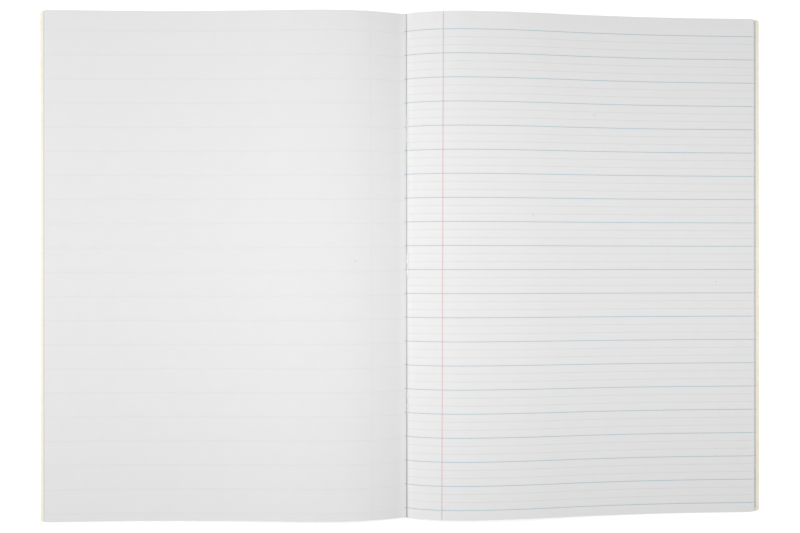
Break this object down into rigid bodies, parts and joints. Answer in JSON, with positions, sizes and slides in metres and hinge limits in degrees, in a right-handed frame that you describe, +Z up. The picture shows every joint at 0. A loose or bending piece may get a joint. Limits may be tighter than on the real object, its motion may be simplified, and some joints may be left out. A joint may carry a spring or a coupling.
{
  "type": "stapled exercise book, open",
  "caption": "Thin stapled project book with ruled pages and a card cover, lying open at its centre spread; one half folds over to close it.",
  "frame": {"origin": "on the table, under the middle of the spine fold", "axes": "+X across the spread from the fold to the back cover's fore-edge, +Y along the fold to the head of the pages, +Z up"},
  "size_m": [0.4266, 0.297, 0.0118],
  "materials": {
    "cover_card": "uncoated cream card",
    "page_paper": "uncoated white writing paper",
    "staple_wire": "galvanised steel wire"
  },
  "bodies": {
    "back_half": {"back_cover": "cover_card", "back_pages": "page_paper"},
    "front_half": {"front_cover": "cover_card", "front_pages": "page_paper"},
    "staples": {"head_staple": "staple_wire", "middle_staple": "staple_wire", "tail_staple": "staple_wire"}
  },
  "joints": [
    {"name": "cover_fold", "type": "hinge", "parent": "back_half", "child": "front_half", "pos_m": [0, 0, 0.0031], "axis": [0, 1, 0], "range_deg": [0, 180], "deforming": ["front_pages", "back_pages"]},
    {"name": "staple_turn", "type": "hinge", "parent": "back_half", "child": "staples", "pos_m": [0, 0, 0.0031], "axis": [0, 1, 0], "range_deg": [0, 90]}
  ],
  "couplings": [
    {"joint": "staple_turn", "follows": "cover_fold", "ratio": 0.5}
  ]
}
